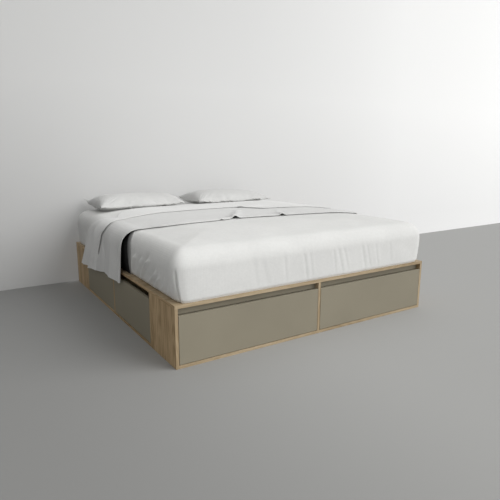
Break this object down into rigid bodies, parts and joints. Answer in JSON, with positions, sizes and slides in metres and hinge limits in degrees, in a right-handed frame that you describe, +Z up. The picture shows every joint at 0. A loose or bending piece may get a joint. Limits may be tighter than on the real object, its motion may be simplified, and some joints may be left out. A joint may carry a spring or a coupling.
{
  "type": "platform storage bed",
  "caption": "Low oak platform bed with taupe storage drawers in its foot and sides, a thick mattress in white linen, draped bedding and pillows.",
  "frame": {"origin": "on the floor, under the middle of the platform", "axes": "X runs across the bed, +Y from the foot to the head, +Z up"},
  "size_m": [2.042, 2.08, 0.7775],
  "materials": {
    "oak_panel": "satin oiled oak veneer on plywood",
    "taupe_lacquer": "matt taupe lacquer",
    "drawer_birch": "clear lacquered birch plywood",
    "dowel_wood": "plain beech",
    "runner_steel": "powder coated steel",
    "mattress_cover": "fitted white cotton sheet",
    "coverlet_cotton": "white cotton",
    "sheet_cotton": "white cotton",
    "pillow_cotton": "white cotton",
    "dark_blanket": "soft black wool"
  },
  "bodies": {
    "platform_and_bedding": {"foot_base": "oak_panel", "head_base": "oak_panel", "left_base": "oak_panel", "right_base": "oak_panel", "foot_side_left": "oak_panel", "foot_side_right": "oak_panel", "head_side_left": "oak_panel", "head_side_right": "oak_panel", "foot_bulkhead": "oak_panel", "head_bulkhead": "oak_panel", "head_panel": "oak_panel", "foot_divider": "oak_panel", "left_divider": "oak_panel", "right_divider": "oak_panel", "left_spine": "oak_panel", "right_spine": "oak_panel", "centre_ribs": "oak_panel", "deck_foot": "oak_panel", "deck_head": "oak_panel", "finger_rails": "taupe_lacquer", "foot_cabinet_runners": "runner_steel", "side_cabinet_runners": "runner_steel", "deck_dowels": "dowel_wood", "mattress": "mattress_cover", "blanket": "dark_blanket", "coverlet": "coverlet_cotton", "top_sheet": "sheet_cotton", "pillow_left": "pillow_cotton", "pillow_right": "pillow_cotton"},
    "foot_left_drawer": {"foot_left_front": "taupe_lacquer", "foot_left_sides": "drawer_birch", "foot_left_back": "drawer_birch", "foot_left_bottom": "drawer_birch", "foot_left_runners": "runner_steel"},
    "foot_right_drawer": {"foot_right_front": "taupe_lacquer", "foot_right_sides": "drawer_birch", "foot_right_back": "drawer_birch", "foot_right_bottom": "drawer_birch", "foot_right_runners": "runner_steel"},
    "left_foot_drawer": {"left_foot_front": "taupe_lacquer", "left_foot_sides": "drawer_birch", "left_foot_back": "drawer_birch", "left_foot_bottom": "drawer_birch", "left_foot_runners": "runner_steel"},
    "left_head_drawer": {"left_head_front": "taupe_lacquer", "left_head_sides": "drawer_birch", "left_head_back": "drawer_birch", "left_head_bottom": "drawer_birch", "left_head_runners": "runner_steel"},
    "right_foot_drawer": {"right_foot_front": "taupe_lacquer", "right_foot_sides": "drawer_birch", "right_foot_back": "drawer_birch", "right_foot_bottom": "drawer_birch", "right_foot_runners": "runner_steel"},
    "right_head_drawer": {"right_head_front": "taupe_lacquer", "right_head_sides": "drawer_birch", "right_head_back": "drawer_birch", "right_head_bottom": "drawer_birch", "right_head_runners": "runner_steel"}
  },
  "joints": [
    {"name": "foot_left_slide", "type": "slide", "parent": "platform_and_bedding", "child": "foot_left_drawer", "axis": [0, -1, 0], "range_m": [0, 0.225]},
    {"name": "foot_right_slide", "type": "slide", "parent": "platform_and_bedding", "child": "foot_right_drawer", "axis": [0, -1, 0], "range_m": [0, 0.225]},
    {"name": "left_foot_slide", "type": "slide", "parent": "platform_and_bedding", "child": "left_foot_drawer", "axis": [-1, 0, 0], "range_m": [0, 0.41], "deforming": ["coverlet"]},
    {"name": "left_head_slide", "type": "slide", "parent": "platform_and_bedding", "child": "left_head_drawer", "axis": [-1, 0, 0], "range_m": [0, 0.41], "deforming": ["top_sheet"]},
    {"name": "right_foot_slide", "type": "slide", "parent": "platform_and_bedding", "child": "right_foot_drawer", "axis": [1, 0, 0], "range_m": [0, 0.41], "deforming": ["coverlet"]},
    {"name": "right_head_slide", "type": "slide", "parent": "platform_and_bedding", "child": "right_head_drawer", "axis": [1, 0, 0], "range_m": [0, 0.41], "deforming": ["top_sheet"]}
  ]
}
